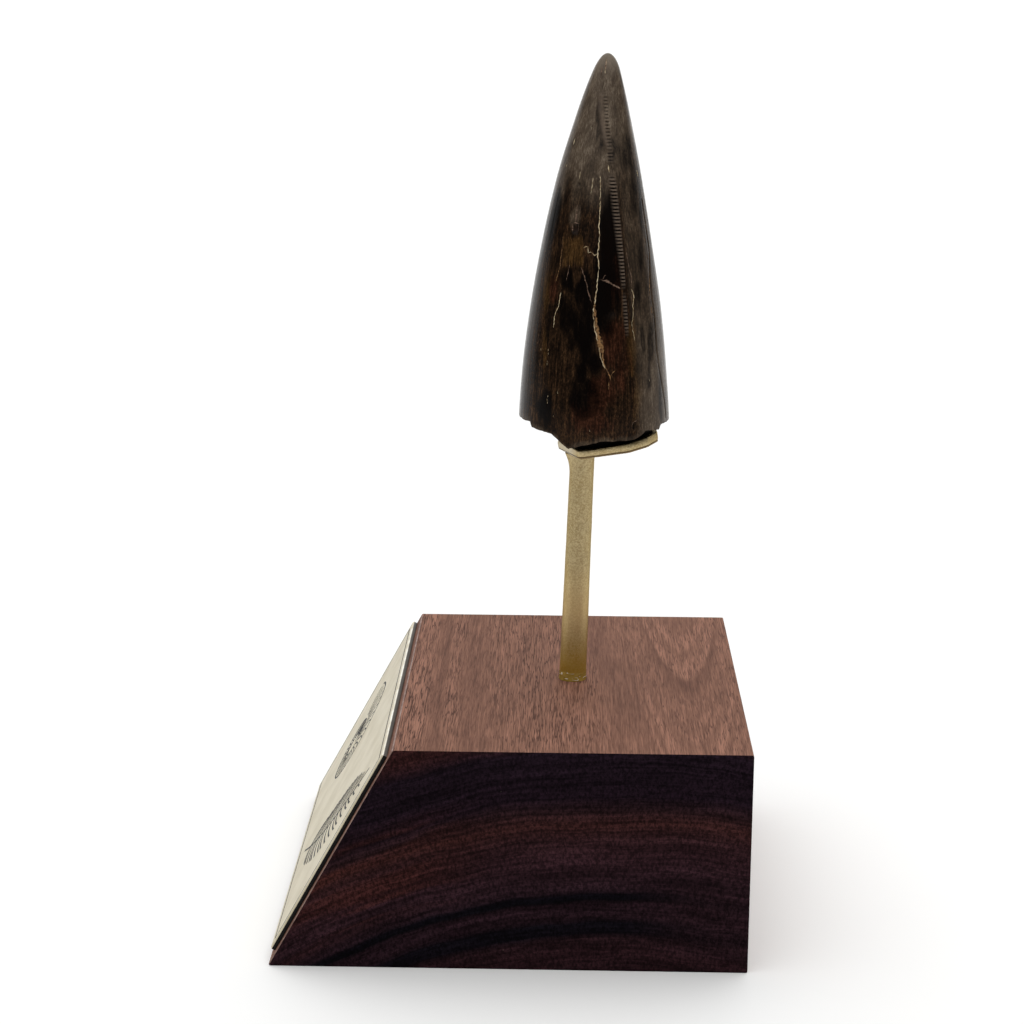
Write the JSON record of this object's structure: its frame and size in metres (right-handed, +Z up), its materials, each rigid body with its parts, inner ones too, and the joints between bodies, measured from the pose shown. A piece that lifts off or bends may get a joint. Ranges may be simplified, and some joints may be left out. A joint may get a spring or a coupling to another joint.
{
  "type": "fossil dinosaur tooth on a display stand",
  "caption": "Serrated theropod tooth crown resting root down in a brass cradle, on a leaning rod set in a walnut block with a sloped label end.",
  "frame": {"origin": "middle of the block's underside, on the surface that the stand rests on", "axes": "+Z up along the tooth, -X out of the sloped label face, -Y towards the serrated front edge of the tooth"},
  "size_m": [0.0531, 0.0526, 0.0982],
  "materials": {
    "fossil_enamel": "glossy mineralised enamel, mottled",
    "brass": "satin",
    "clear_glue": "clear gloss",
    "walnut": "oiled satin",
    "laminate": "engraved laminate, black core"
  },
  "bodies": {
    "root": {"tooth": "fossil_enamel", "cradle": "brass", "rod": "brass", "glue_bead": "clear_glue", "base_block": "walnut", "label_plate": "laminate"}
  },
  "joints": []
}
